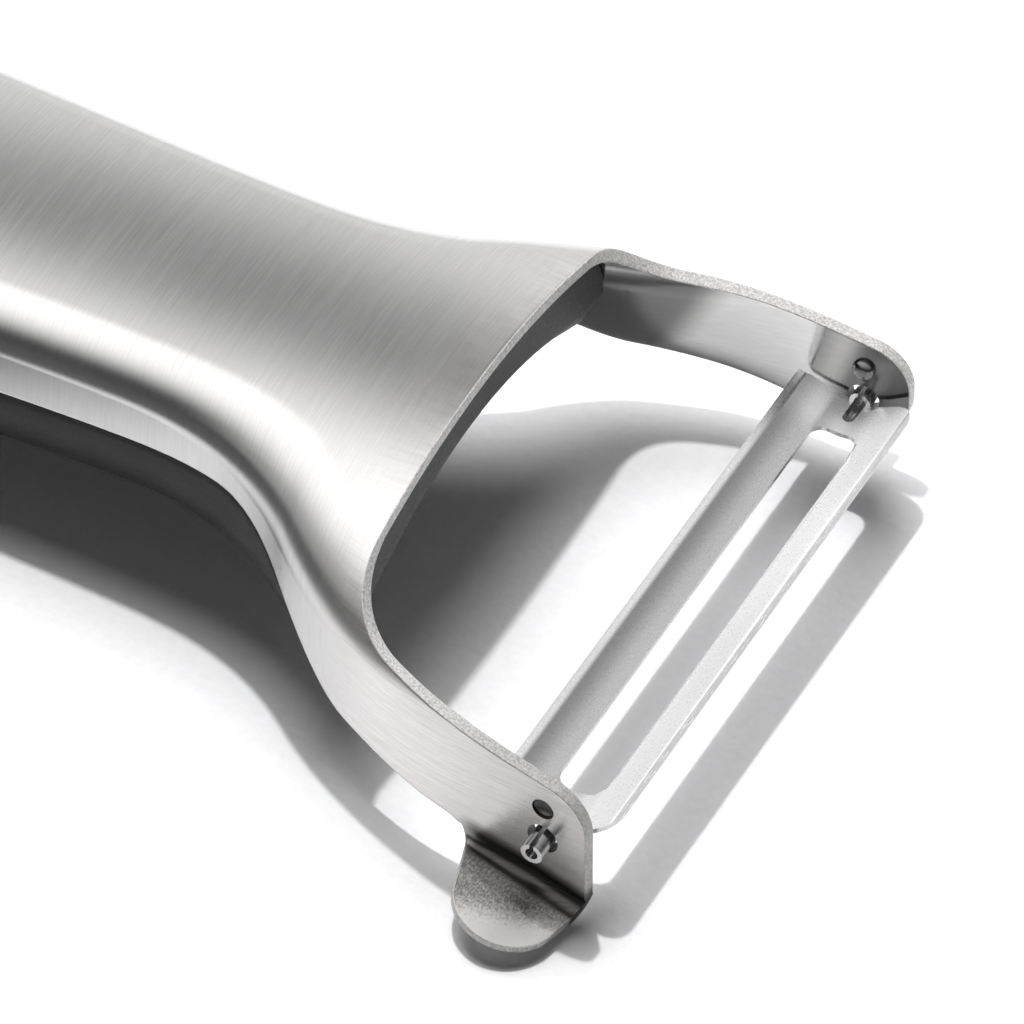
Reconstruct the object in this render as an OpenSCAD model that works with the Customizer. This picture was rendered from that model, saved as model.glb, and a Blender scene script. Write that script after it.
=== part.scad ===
// Vegetable peeler with a wide head and a swivelling blade.
// The origin is on the underside of the grip, on the axis of the hanging hole.
// X runs along the handle to the head, and Y runs across it.

/* [Handle] */
// Length from the tail to the back edge of the head opening
handle_l = 130; // [115:1:145]
// Height from the underside of the grip to the crown
handle_h = 21.2; // [19:0.1:25]
// Width across the tail, where its rounding starts
tail_w = 38; // [32:0.5:40]
// Length of the rounded tail
tail_l = 28; // [22:1:34]
// Width across the waist
waist_w = 32.2; // [29:0.1:35]
// Distance from the waist to the head opening
waist_back = 32; // [28:1:38]
// Width across the neck, where the sides flare most
neck_w = 44.8; // [40:0.2:50]
// Distance from the neck to the head opening
neck_back = 11; // [8:0.5:14]
// Sideways flare at the neck, in mm of half width for each mm of length
neck_flare_share = 0.8; // [0.6:0.05:0.95]
// Radius of the crown, seen from the end
crown_r = 70; // [45:1:80]
// How much higher the crown is at the tail than at the head opening
crown_rise = 1.4; // [0:0.1:2]
// How far the crown falls towards the end of the tail
crown_fall = 3; // [0:0.5:4]

/* [Steel body] */
// Thickness of the steel
steel_t = 1.4; // [1.2:0.1:1.6]
// Depth of the shell's sides below the crown
side_h = 9.7; // [9:0.5:12]
// Radius of the shell's shoulders along the handle
shoulder_r = 4.4; // [4.2:0.1:6]
// Radius of the shoulders beside the head opening
head_shoulder_r = 7; // [6:0.2:9]
// Outward lean of the sides
side_lean = 6; // [0:1:8]
// Radius of the corner between the head opening and each arm
opening_r = 6.8; // [5:0.2:8]

/* [Arms] */
// Width across the arms at their tips
head_w = 69; // [66:0.5:74]
// Distance from the back of the head opening to the swivel axis
opening_l = 24.1; // [20:0.1:28]
// Depth of the swivel axis below the crown
pivot_drop = 21.7; // [20:0.5:25]
// Height of an arm at the swivel axis
arm_h = 11.6; // [11:0.2:13]
// How far the middle of an arm lies above the swivel axis
arm_rise = 1.6; // [0:0.2:2]
// Downward slope of the arms towards their tips
arm_slope = 11.5; // [8:0.5:14]
// Reach of the arms past the swivel axis
tip_l = 4.8; // [3.8:0.1:5.4]
// Radius of the corners of the tips
tip_r = 5; // [3.5:0.1:5.4]
// Radius of the swivel holes
pivot_hole_r = 1.7; // [1.5:0.1:1.9]
// Radius of the pressed stops above the swivel holes
stop_r = 1.2; // [1:0.1:1.4]
// Distance from a swivel hole to the stop above it
stop_rise = 4; // [3.6:0.1:4.4]
// How far a stop stands out inside its arm
stop_h = 0.9; // [0.7:0.1:1]

/* [Eye remover] */
// Reach of the eye remover from the arm
eyer_l = 11.1; // [9:0.1:13]
// Width of the eye remover
eyer_w = 13.1; // [11:0.1:13.1]
// Radius of its rounded end
eyer_end_r = 5.4; // [5:0.1:6]
// How far its end lies forward of its fold
eyer_skew = 0.9; // [0:0.1:2.4]
// Inner radius of its bend
eyer_bend_r = 1.2; // [1:0.1:2]
// Thickness at its rim
eyer_rim_t = 0.8; // [0.6:0.1:1.2]
// Radius of its dished face
eyer_dish_r = 26; // [20:1:60]
// Downward slope of its fold towards the tip of the arm
eyer_slope = 14; // [10:1:18]
// Height of its fold below the middle of the arm
eyer_drop = 6.5; // [6:0.1:7]

/* [Blade] */
// Width of the blade across both bars
blade_w = 12.8; // [12:0.1:14]
// Clearance between each end of the blade and its arm
blade_gap = 0.7; // [0.5:0.05:1]
// Thickness of the blade
blade_t = 0.5; // [0.4:0.05:0.6]
// Height of the outer edges above the swivel axis
blade_edge_z = 2.5; // [2:0.1:3]
// Width of the raised flange along the back edge
flange_w = 0.5; // [0.4:0.05:0.8]
// Height of the raised flange along the back edge
flange_h = 0.95; // [0.6:0.05:1.2]
// Height of the slot's edges above the middle of the blade
trough_rise = 0.45; // [0.2:0.05:0.8]
// Radius of the blade's corners
blade_corner_r = 2.5; // [2:0.1:4]
// Radius of the corners of its back bar
blade_back_r = 1.2; // [0.8:0.1:2]
// Width of the slot
slot_w = 4.8; // [4:0.1:5.4]
// Length of the web at each end of the slot
web_l = 4.8; // [4:0.1:6]
// Radius of the slot's corners
slot_r = 1.5; // [1:0.1:1.9]
// Reach of each ground bevel
bevel_w = 0.7; // [0.5:0.05:0.9]
// Depth of the ground bevels, as a share of the blade's thickness
bevel_share = 0.8; // [0.5:0.05:0.9]
// Outer radius of the rolled tangs
tang_r = 1.15; // [1:0.05:1.3]
// How far the tangs stand out of the arms
tang_out = 2.3; // [1.6:0.1:3]

/* [Grip] */
// Clearance between the filling and the steel
grip_gap = 0.1; // [0.05:0.05:0.3]
// Thickness of the soft skin round the core
skin_t = 2.2; // [1.6:0.1:3]
// Radius along the grip's lower edges
grip_r = 9.4; // [7:0.1:10]
// Radius along the same edges at the neck
grip_neck_r = 6.7; // [5:0.1:9]
// Set-back of the grip's sides from the outer face of the steel
grip_inset = 0.2; // [0.1:0.05:0.4]
// Groove between the lower edge of the shell and the grip
groove = 0.3; // [0.2:0.05:0.6]
// Set-back of the front face from the head opening
front_back = 0.2; // [0:0.1:1]
// Length over which the underside climbs to the front face
rise_l = 9.5; // [9:0.5:15]
// Height of the grip's front lip under the steel, at the middle
lip_h = 4.7; // [3:0.1:7]
// Radius of the hollow under the front lip
lip_arch_r = 68; // [50:1:90]
// Slope of that hollow
lip_slope = 50; // [35:1:60]

/* [Hanging hole] */
// Radius of the hanging hole
hang_r = 3.75; // [3:0.05:4.5]
// Thickness of the collar that lines it
collar_t = 1.75; // [1.2:0.05:2.2]
// Distance from the tail to the middle of the hole
hang_inset = 12; // [11:0.5:15]

/* [Hidden] */

// Overrun of every cut past the face it opens
over = handle_h / 20;
// Step for slopes
nudge = handle_h / 1000;
round_fn = 48;

// Stations along the handle
tail_x = -hang_inset;
round_x = tail_x + tail_l;
front_x = tail_x + handle_l;
waist_x = front_x - waist_back;
neck_x = front_x - neck_back;
pivot_x = front_x + opening_l;
tip_x = pivot_x + tip_l;
grip_front_x = front_x - front_back;

// Heights
pivot_z = handle_h - pivot_drop;
side_z = handle_h - side_h;
arm_z = pivot_z + arm_rise;
low_z = arm_z - arm_h;
mid_z = mix(low_z, handle_h, 0.3);
steel_fit = steel_t + grip_gap;
blade_l = head_w - 2 * (steel_t + blade_gap);
slot_l = blade_l - 2 * web_l;
toe_share = 0.08;
arm_crown_share = 0.5;
crown_rise_share = 0.6;
// Part of the height of the shell's sides up to which the grip's underside climbs
climb_share = 0.9;
top_z = handle_h + crown_rise + over;

// Steps of the lofts: stations along a side and round the tail,
// steps over a shoulder and across the crown
side_n = 26;
tail_n = 7;
arc_n = 5;
cross_n = 8;
half_n = side_n + tail_n;
ring_n = 2 * half_n + 1;

function mix(a, b, t) = a + (b - a) * t;
function ease(t) = let (u = min(max(t, 0), 1)) u * u * (3 - 2 * u);

// Cubic from height a to height b with the slopes sa and sb at its ends
function cubic(x, x0, x1, a, b, sa, sb) =
    let (l = x1 - x0, t = (x - x0) / l)
    a * (2 * t ^ 3 - 3 * t ^ 2 + 1) + b * (3 * t ^ 2 - 2 * t ^ 3)
    + l * sa * (t ^ 3 - 2 * t ^ 2 + t) + l * sb * (t ^ 3 - t ^ 2);

// Half width of the steel body at the top of its side walls
function half_w(x) =
    x <= round_x ? tail_w / 2
    : x <= waist_x ? cubic(x, round_x, waist_x, tail_w / 2, waist_w / 2, 0, 0)
    : x <= neck_x ? cubic(x, waist_x, neck_x, waist_w / 2, neck_w / 2, 0, neck_flare_share)
    : x <= pivot_x ? cubic(x, neck_x, pivot_x, neck_w / 2, head_w / 2, neck_flare_share, toe_share)
    : head_w / 2 + toe_share * (x - pivot_x);

function flare(x) = (half_w(x + nudge) - half_w(x - nudge)) / (2 * nudge);
function turn(x) = atan(flare(x));

// Height of the crown at a point of the plan. Its curve flattens along the arms.
function crown_z(x, y) =
    handle_h + crown_rise * ease((front_x - x) / ((front_x - round_x) * crown_rise_share))
    - crown_fall * max((round_x - x) / tail_l, 0) ^ 2
    - mix(1, arm_crown_share, ease((x - front_x) / opening_l)) * y ^ 2 / (2 * crown_r);

function shoulder(x) =
    mix(shoulder_r, head_shoulder_r, ease((x - waist_x) / (front_x - waist_x)));
// Outward lean of the side walls, and its shift at a given height
function lean(x) = tan(side_lean) * ease((pivot_x - x) / (opening_l * 0.7));
function splay(x, z) = lean(x) * (crown_z(x, half_w(x)) - shoulder(x) - z);

// Centre line of an arm, seen from the side
function arm_mid(x) = arm_z - tan(arm_slope) * (x - pivot_x);
// Lower edge of the shell and arms, seen from the side
function edge_z(x) =
    mix(arm_mid(x) - arm_h / 2, side_z, ease((front_x - x) / (waist_back * 0.64)));

// Plan point of station i, moved inwards by a distance
function side_x(i, x0) = x0 - (x0 - round_x) * (i / side_n) ^ 1.3;
function plan(i, inset, x0) =
    i <= side_n
    ? let (x = side_x(i, x0)) [x, half_w(x) - inset / cos(turn(x))]
    : let (a = 90 * (i - side_n) / tail_n)
      [round_x - (tail_l - inset) * sin(a), i == half_n ? 0 : (tail_w / 2 - inset) * cos(a)];

// A ring is [kind, inset, level, angle]. Kind 1 goes round the shoulder at a
// depth below the crown, kind 2 lies on the side walls at one height, and kind 3
// goes round the lower edge of the grip or core, whose underside is at that height.
function ring_point(r, i, x0) =
    let (x = plan(i, r[1], x0).x)
    r[0] == 1
    ? let (radius = shoulder(x) - r[1], p = plan(i, r[1] + radius * (1 - cos(r[3])), x0))
      [p.x, -p.y, crown_z(p.x, p.y) - r[2] - radius * (1 - sin(r[3]))]
    : r[0] == 2
    ? let (p = plan(i, r[1] - splay(x, r[2]), x0)) [p.x, -p.y, r[2]]
    : let (edge_r = grip_edge(x), radius = edge_r - r[2], inset = r[1] - splay(x, edge_r),
           p = plan(i, inset + radius * (1 - cos(r[3])), x0))
      [p.x, -p.y, r[2] + radius * (1 - sin(r[3]))];

// Radius along the lower edges of the grip
function grip_edge(x) = mix(grip_r, grip_neck_r, ease((x - waist_x) / (neck_x - waist_x)));

function mirrored(p) = [p.x, -p.y, p.z];

// Closed loft of a stack of rings. Each ring runs from the front of one side,
// round the tail, to the front of the other side. The first and the last ring
// are closed over by a grid, and the front is flat.
module loft(rings, x0) {
    last = len(rings) - 1;
    rim = [for (r = rings) [for (i = [0:half_n]) ring_point(r, i, x0)]];
    // A grid point lies between the two sides, at the height that its ring gives
    function grid_z(r, p, y) =
        r[0] == 1 ? p.z + crown_z(p.x, y) - crown_z(p.x, p.y) : p.z;
    function grid(k, i, j) =
        let (p = rim[k][i], y = p.y * (1 - 2 * j / cross_n)) [p.x, y, grid_z(rings[k], p, y)];
    ring_points = [for (k = [0:last]) for (i = [0:ring_n - 1])
        i <= half_n ? rim[k][i] : mirrored(rim[k][2 * half_n - i])];
    grid_points = [for (k = [0, last]) for (i = [0:half_n - 1]) for (j = [1:cross_n - 1])
        grid(k, i, j)];
    function at(k, i) = k * ring_n + i;
    grid_start = (last + 1) * ring_n;
    // Point j across station i of the lower (0) or upper (1) grid
    function over_at(g, i, j) =
        j == 0 ? at(g * last, i)
        : j == cross_n ? at(g * last, 2 * half_n - i)
        : grid_start + (g * half_n + i) * (cross_n - 1) + j - 1;
    sides = [for (k = [0:last - 1]) for (i = [0:ring_n - 2])
        each quad(at(k, i), at(k + 1, i), at(k + 1, i + 1), at(k, i + 1))];
    covers = [for (g = [0, 1]) for (i = [0:half_n - 2]) for (j = [0:cross_n - 1])
        each turned(g, quad(over_at(g, i, j), over_at(g, i + 1, j),
            over_at(g, i + 1, j + 1), over_at(g, i, j + 1)))];
    fans = [for (g = [0, 1]) for (j = [0:cross_n - 1])
        each turned(g, [[over_at(g, half_n - 1, j + 1), at(g * last, half_n), over_at(g, half_n - 1, j)]])];
    // A shell's front is a band between its inner and its outer rings
    far = ring_n - 1;
    band = concat(
        [for (k = [0:(last - 1) / 2 - 1]) each concat(
            quad(at(last - k - 1, 0), at(k + 1, 0), at(k, 0), at(last - k, 0)),
            quad(at(k + 1, far), at(last - k - 1, far), at(last - k, far), at(k, far)))],
        [for (j = [0:cross_n - 1])
            each quad(over_at(0, 0, j), over_at(0, 0, j + 1), over_at(1, 0, j + 1), over_at(1, 0, j))]);
    // A solid's front is a stack of strips from side to side
    stack = concat(
        [[at(1, 0), at(1, far), at(0, far)], [at(last - 1, 0), at(last, far), at(last - 1, far)]],
        [for (k = [1:last - 2]) each quad(at(k, 0), at(k, far), at(k + 1, far), at(k + 1, 0))],
        [for (j = [0:cross_n - 1]) each [
            [at(1, 0), over_at(0, 0, j + 1), over_at(0, 0, j)],
            [at(last - 1, 0), over_at(1, 0, j), over_at(1, 0, j + 1)]]]);
    front = rings[0][0] == 1 ? band : stack;
    polyhedron(concat(ring_points, grid_points), concat(sides, covers, fans, front));
}
function quad(a, b, c, d) = [[a, c, b], [a, d, c]];
function flip(f) = [for (i = [len(f) - 1:-1:0]) f[i]];
function reversed(faces) = [for (f = faces) flip(f)];
function turned(g, faces) = g == 1 ? reversed(faces) : faces;

arc = [for (i = [0:arc_n]) 90 * i / arc_n];
function shoulder_rings(inset, depth) = [for (a = arc) [1, inset, depth, a]];

// Side view of the steel: everything below the crown and behind the tips
module body_outline() {
    step = opening_l / 12;
    corner_x = front_x + opening_r;
    corner = [corner_x, arm_mid(corner_x) + arm_h / 2 + opening_r / cos(arm_slope)];
    polygon([
        [tail_x - over - steel_t, top_z],
        [front_x, top_z],
        for (i = [0:8])
            let (a = 180 + (90 - arm_slope) * i / 8)
            [corner.x + opening_r * cos(a), corner.y + opening_r * sin(a)],
        for (i = [0:8])
            let (a = 90 - arm_slope - (90 - arm_slope) * i / 8)
            [tip_x - tip_r + tip_r * cos(a), tip_top() + tip_r * sin(a)],
        for (i = [0:8])
            let (a = -(90 + arm_slope) * i / 8)
            [tip_x - tip_r + tip_r * cos(a), tip_foot() + tip_r * sin(a)],
        for (x = [tip_x - 2 * tip_r:-step:waist_x - step]) [x, edge_z(x)],
        [tail_x - over - steel_t, side_z]
    ]);
}
// Centres of the tip's rounded corners, which touch the arm's two edges
function tip_top() = arm_mid(tip_x - tip_r) + arm_h / 2 - tip_r / cos(arm_slope);
function tip_foot() = arm_mid(tip_x - tip_r) - arm_h / 2 + tip_r / cos(arm_slope);

// Corner of the eye remover's fold at the front of the near arm
eyer_mid_x = tip_x - eyer_w / 2;
eyer_z = arm_mid(eyer_mid_x) - eyer_drop;

// The near arm runs down to the fold of the eye remover
module near_arm_outline() {
    polygon([
        [tip_x, arm_mid(tip_x)],
        [tip_x, eyer_z - tan(eyer_slope) * eyer_w / 2],
        [tip_x - eyer_w, eyer_z + tan(eyer_slope) * eyer_w / 2],
        [tip_x - eyer_w, arm_mid(tip_x - eyer_w)]
    ]);
}

module across(y0, y1) {
    translate([0, y1, 0]) rotate([90, 0, 0]) linear_extrude(y1 - y0) children();
}

// Profile of the eye remover: the wall, the bend and the dished tab
module eyer_profile() {
    bend = eyer_bend_r + steel_t;
    tab = eyer_l - eyer_bend_r;
    translate([-steel_t, 0]) square([steel_t, steel_t]);
    translate([eyer_bend_r, 0]) intersection() {
        difference() {
            circle(bend, $fn = round_fn);
            circle(eyer_bend_r, $fn = round_fn);
        }
        translate([-bend - over, -bend - over]) square([bend + over, bend + over]);
    }
    // The dished sheet thins towards its rim, so its lower arc is the tighter one
    rise = eyer_dish_r - sqrt(eyer_dish_r ^ 2 - tab ^ 2) + steel_t - eyer_rim_t;
    under_r = (tab ^ 2 + rise ^ 2) / (2 * rise);
    translate([eyer_bend_r, -eyer_bend_r]) intersection() {
        difference() {
            translate([0, under_r - steel_t]) circle(under_r, $fn = 4 * round_fn);
            translate([0, eyer_dish_r]) circle(eyer_dish_r, $fn = 4 * round_fn);
        }
        translate([0, -steel_t - over]) square([tab + over, eyer_l]);
    }
}

module eyer() {
    reach = eyer_l + steel_t + over;
    tilt = (turn(tip_x) + turn(tip_x - eyer_w)) / 2;
    root = steel_t + over;
    skew = root * tan(tilt);
    translate([eyer_mid_x, -half_w(eyer_mid_x), eyer_z])
        rotate([0, 0, -tilt]) rotate([0, eyer_slope, 0]) intersection() {
            translate([eyer_w, 0, 0]) rotate([90, 0, -90])
                linear_extrude(2 * eyer_w) eyer_profile();
            translate([0, 0, -reach]) linear_extrude(2 * reach) {
                polygon([
                    [-eyer_w / 2 - skew, root],
                    [-eyer_w / 2, 0],
                    [eyer_skew - eyer_end_r, eyer_end_r - eyer_l],
                    [eyer_skew + eyer_end_r, eyer_end_r - eyer_l],
                    [eyer_w / 2, 0],
                    [eyer_w / 2 - skew, root]
                ]);
                translate([eyer_skew, eyer_end_r - eyer_l]) circle(eyer_end_r, $fn = 2 * round_fn);
            }
        }
}

module steel_body() {
    inner = shoulder_rings(steel_t, steel_t);
    wall = [[2, steel_t, mid_z], [2, steel_t, low_z], [2, 0, low_z], [2, 0, mid_z]];
    rings = concat(flip(inner), wall, shoulder_rings(0, 0));
    face_y = half_w(pivot_x);
    color("silver") {
        difference() {
            union() {
                intersection() {
                    loft(rings, tip_x + over);
                    union() {
                        across(-head_w, head_w) body_outline();
                        across(-head_w, 0) near_arm_outline();
                    }
                }
                for (s = [-1, 1])
                    translate([pivot_x, s * (face_y - steel_t / 2), pivot_z + stop_rise])
                        rotate([s * 90, 0, 0]) cylinder(
                            h = steel_t / 2 + stop_h,
                            r1 = stop_r * 1.3,
                            r2 = stop_r * 0.8,
                            $fn = round_fn
                        );
                eyer();
            }
            translate([pivot_x, 0, pivot_z]) rotate([90, 0, 0])
                cylinder(h = 2 * head_w, r = pivot_hole_r, center = true, $fn = round_fn);
            for (s = [-1, 1])
                translate([pivot_x, s * (face_y + over), pivot_z + stop_rise]) rotate([s * 90, 0, 0])
                    cylinder(h = over + stop_h, r = stop_r, $fn = round_fn);
            translate([0, 0, -handle_h])
                cylinder(h = 3 * handle_h, r = hang_r + collar_t + grip_gap, $fn = round_fn);
        }
    }
}

// Loft of the grip's or core's upright sides, rounded along their lower edges
module tub(inset, depth, level, x0) {
    lower_edge = [for (a = arc) [3, inset, level, a]];
    loft(concat(flip(lower_edge), shoulder_rings(inset, depth)), x0);
}
// Underside of the grip, seen from the side: flat, then climbing to the front
rise_x = grip_front_x - rise_l;
climb = [for (t = [0:1 / 8:1]) [rise_x + rise_l * t, side_z * climb_share * t ^ 1.7]];
module grip_outline() {
    polygon([
        [tail_x - over, -over],
        [rise_x, -over],
        each climb,
        [grip_front_x, top_z],
        [tail_x - over, top_z]
    ]);
}
// The grip's sides show under the steel, up to a groove below its lower edge
module cheek_outline() {
    step = rise_l / 6;
    polygon([
        [tail_x - over, -over],
        [grip_front_x, -over],
        for (x = [grip_front_x:-step:waist_x]) [x, edge_z(x) - groove],
        [tail_x - over, side_z - groove]
    ]);
}
// Hollow that leaves the front lip as an arch
module lip_hollow() {
    translate([grip_front_x, 0, handle_h - steel_t - lip_h]) rotate([0, 90 - lip_slope, 0])
        translate([lip_arch_r, 0, -2 * handle_h])
            cylinder(h = 4 * handle_h, r = lip_arch_r, $fn = 4 * round_fn);
}
// Form of the grip inside the steel, skin and core together
module grip_form() {
    difference() {
        intersection() {
            tub(steel_fit, steel_fit, 0, grip_front_x + over);
            across(-neck_w, neck_w) grip_outline();
        }
        lip_hollow();
    }
}
// Room for the core, open above the crown
module core_form() {
    difference() {
        intersection() {
            tub(steel_fit + skin_t, -steel_t, skin_t, grip_front_x);
            across(-neck_w, neck_w) translate([-skin_t, skin_t]) grip_outline();
        }
        translate([-skin_t, 0, skin_t]) lip_hollow();
    }
}
module cheeks() {
    difference() {
        intersection() {
            tub(grip_inset, steel_fit, 0, grip_front_x + over);
            // A little higher than the rest, so that no two faces of the grip coincide
            across(-neck_w, neck_w) intersection() {
                translate([0, groove / 4]) grip_outline();
                cheek_outline();
            }
        }
        lip_hollow();
    }
}

module grip_core() {
    color("dimgray") difference() {
        intersection() {
            grip_form();
            core_form();
        }
        translate([0, 0, -handle_h])
            cylinder(h = 3 * handle_h, r = hang_r + collar_t, $fn = round_fn);
    }
}

module soft_grip() {
    color("black") difference() {
        union() {
            difference() {
                union() {
                    grip_form();
                    cheeks();
                }
                core_form();
            }
            translate([0, 0, skin_t / 2]) cylinder(
                h = crown_z(0, hang_r + collar_t) - skin_t / 2,
                r = hang_r + collar_t,
                $fn = round_fn
            );
        }
        translate([0, 0, -over]) cylinder(h = 2 * handle_h, r = hang_r, $fn = round_fn);
    }
}

// Section of the blade, seen from its end: a raised flange at the back, a flat
// trough, and a front bar that climbs to the leading edge
trough_n = 6;
trough = [for (i = [-trough_n:trough_n])
    let (t = i / trough_n) [t * slot_w / 2, trough_rise * t ^ 2]];
upper = concat(
    [[-blade_w / 2, blade_edge_z], [-blade_w / 2 + flange_w, blade_edge_z - flange_h]],
    trough,
    [[blade_w / 2, blade_edge_z]]);
last = len(upper) - 1;
function unit(v) = v / norm(v);
// Downward normal of the piece after point i
function down(i) =
    let (k = min(max(i, 0), last - 1), d = unit(upper[k + 1] - upper[k])) [d.y, -d.x];
lower = [for (i = [0:last])
    let (m = down(i - 1), n = down(i)) upper[i] + (m + n) * blade_t / (1 + m * n)];

front_bar = unit(upper[last] - upper[last - 1]);
bar_angle = atan2(front_bar.y, front_bar.x);
// Corner that a ground bevel takes off the sheet, seen from the sheet's end
module bevel_cut() {
    polygon([[bevel_w, 0], [0, -bevel_share * blade_t], [-over, -bevel_share * blade_t],
        [-over, over], [bevel_w, over]]);
}
module blade_section() {
    difference() {
        polygon(concat(upper, [for (i = [last:-1:0]) lower[i]]));
        translate(upper[last]) rotate(bar_angle) mirror([1, 0]) bevel_cut();
    }
}

// Plan of a plate with rounded corners, its length along Y
module rounded(w, l, r) {
    square([w - 2 * r, l], center = true);
    square([w, l - 2 * r], center = true);
    for (sx = [-1, 1], sy = [-1, 1])
        translate([sx * (w / 2 - r), sy * (l / 2 - r)]) circle(r, $fn = round_fn);
}

tang_root = (slot_l + blade_l) / 4;
tang_end = head_w / 2 + tang_out;
// Round bar on the swivel axis, from its rounded root to its end
module bar(s, radius, end_y) {
    translate([0, s * tang_root, 0]) {
        sphere(radius, $fn = round_fn);
        rotate([-s * 90, 0, 0]) cylinder(h = end_y - tang_root, r = radius, $fn = round_fn);
    }
}

// Plan of the blade: its back bar has tighter corners than the leading bar
module blade_plan() {
    intersection() {
        rounded(blade_w, blade_l, blade_corner_r);
        translate([0, -blade_l]) square([blade_w, 2 * blade_l]);
    }
    intersection() {
        rounded(blade_w, blade_l, blade_back_r);
        translate([-blade_w, -blade_l]) square([blade_w, 2 * blade_l]);
    }
}

module blade() {
    height = 2 * blade_w;
    color("gainsboro") translate([pivot_x, 0, pivot_z]) difference() {
        union() {
            intersection() {
                across(-blade_l / 2, blade_l / 2) blade_section();
                translate([0, 0, -height / 2]) linear_extrude(height) difference() {
                    blade_plan();
                    rounded(slot_w, slot_l, slot_r);
                }
            }
            for (s = [-1, 1]) intersection() {
                bar(s, tang_r, tang_end);
                translate([-blade_w / 2, -blade_l, -height]) cube([blade_w, 2 * blade_l, height]);
            }
        }
        for (s = [-1, 1]) bar(s, tang_r - blade_t, tang_end + over);
        across(slot_r * 0.9 - slot_l / 2, slot_l / 2 - slot_r * 0.9)
            translate(upper[last - 1]) rotate(bar_angle) bevel_cut();
    }
}

steel_body();
grip_core();
soft_grip();
blade();
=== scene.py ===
"""Vegetable peeler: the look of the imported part, on a pale floor.

Sizes are in millimetres, as in the part's source, and each finished mesh is
scaled to metres. The forms follow the same curves as the solids, more finely.
"""
import math

import bmesh
import bpy
import numpy as np
from mathutils import Matrix, Vector
from mathutils.kdtree import KDTree


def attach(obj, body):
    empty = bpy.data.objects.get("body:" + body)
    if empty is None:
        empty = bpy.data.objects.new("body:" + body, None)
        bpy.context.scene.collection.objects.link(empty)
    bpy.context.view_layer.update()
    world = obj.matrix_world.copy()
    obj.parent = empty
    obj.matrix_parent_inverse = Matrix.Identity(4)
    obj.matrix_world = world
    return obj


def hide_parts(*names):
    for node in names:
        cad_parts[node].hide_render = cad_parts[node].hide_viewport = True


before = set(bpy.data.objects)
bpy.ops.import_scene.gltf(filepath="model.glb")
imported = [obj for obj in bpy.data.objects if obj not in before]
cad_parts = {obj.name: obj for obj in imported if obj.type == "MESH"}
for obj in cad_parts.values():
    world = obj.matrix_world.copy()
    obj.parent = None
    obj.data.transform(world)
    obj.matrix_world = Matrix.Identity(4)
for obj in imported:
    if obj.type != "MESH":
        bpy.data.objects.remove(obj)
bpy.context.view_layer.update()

MM = 0.001

# Sizes of the part
handle_h, crown_r, crown_rise, crown_fall = 21.2, 70.0, 1.4, 3.0
tail_w, tail_l, waist_w, neck_w, head_w = 38.0, 28.0, 32.2, 44.8, 69.0
handle_l, hang_inset, waist_back, neck_back, opening_l = 130.0, 12.0, 32.0, 11.0, 24.1
flare_neck, flare_toe = 0.8, 0.08
steel_t, shoulder_r, head_shoulder_r, side_lean, opening_r = 1.4, 4.4, 7.0, 6.0, 6.8
side_h, pivot_drop, arm_h, arm_rise, arm_slope = 9.7, 21.7, 11.6, 1.6, 11.5
tip_l, tip_r, pivot_hole_r = 4.8, 5.0, 1.7
stop_r, stop_rise, stop_h = 1.2, 4.0, 0.9
eyer_w, eyer_end_r, eyer_skew = 13.1, 5.4, 0.9
eyer_bend_r, eyer_rim_t, eyer_dish_r, eyer_slope, eyer_drop = 1.2, 0.8, 26.0, 14.0, 6.5
dish_share, scoop_l, flare_out, flare_run, notch = 0.3, 9.5, 0.9, 2.2, 1.4
blade_w, blade_gap, blade_t, blade_edge_z = 12.8, 0.7, 0.5, 2.5
flange_w, flange_h, trough_rise = 0.5, 0.95, 0.45
blade_corner_r, blade_back_r, slot_w, web_l, slot_r = 2.5, 1.2, 4.8, 4.8, 1.5
bevel_w, bevel_share, tang_r, tang_out, tang_n, slit = 0.7, 0.8, 1.15, 2.3, 40, 0.22
grip_gap, skin_t, grip_r, grip_neck_r, grip_inset, groove = 0.1, 2.2, 9.4, 6.7, 0.2, 0.3
front_back, rise_l, lip_h, lip_arch_r, lip_slope = 0.2, 9.5, 4.7, 68.0, 50.0
hang_r, collar_t, wall_low = 3.75, 1.75, -14.0

tail_x = -hang_inset
round_x = tail_x + tail_l
front_x = tail_x + handle_l
waist_x = front_x - waist_back
neck_x = front_x - neck_back
pivot_x = front_x + opening_l
tip_x = pivot_x + tip_l
grip_front_x = front_x - front_back
pivot_z = handle_h - pivot_drop
side_z = handle_h - side_h
arm_z = pivot_z + arm_rise
steel_fit = steel_t + grip_gap
blade_l = head_w - 2 * (steel_t + blade_gap)
slot_l = blade_l - 2 * web_l
slope_tan = math.tan(math.radians(arm_slope))


# Curves of the part
def mix(a, b, t):
    return a + (b - a) * t


def ease(t):
    u = np.clip(t, 0.0, 1.0)
    return u * u * (3 - 2 * u)


def cubic(x, x0, x1, a, b, sa, sb):
    l = x1 - x0
    t = (x - x0) / l
    return (a * (2 * t**3 - 3 * t**2 + 1) + b * (3 * t**2 - 2 * t**3)
            + l * sa * (t**3 - 2 * t**2 + t) + l * sb * (t**3 - t**2))


def half_w(x):
    x = np.asarray(x, float)
    return np.select(
        [x <= round_x, x <= waist_x, x <= neck_x, x <= pivot_x],
        [np.full_like(x, tail_w / 2),
         cubic(x, round_x, waist_x, tail_w / 2, waist_w / 2, 0, 0),
         cubic(x, waist_x, neck_x, waist_w / 2, neck_w / 2, 0, flare_neck),
         cubic(x, neck_x, pivot_x, neck_w / 2, head_w / 2, flare_neck, flare_toe)],
        head_w / 2 + flare_toe * (x - pivot_x))


def turn(x):
    """Angle of the side's plan line."""
    d = 0.02
    return np.arctan((half_w(x + d) - half_w(x - d)) / (2 * d))


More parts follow.
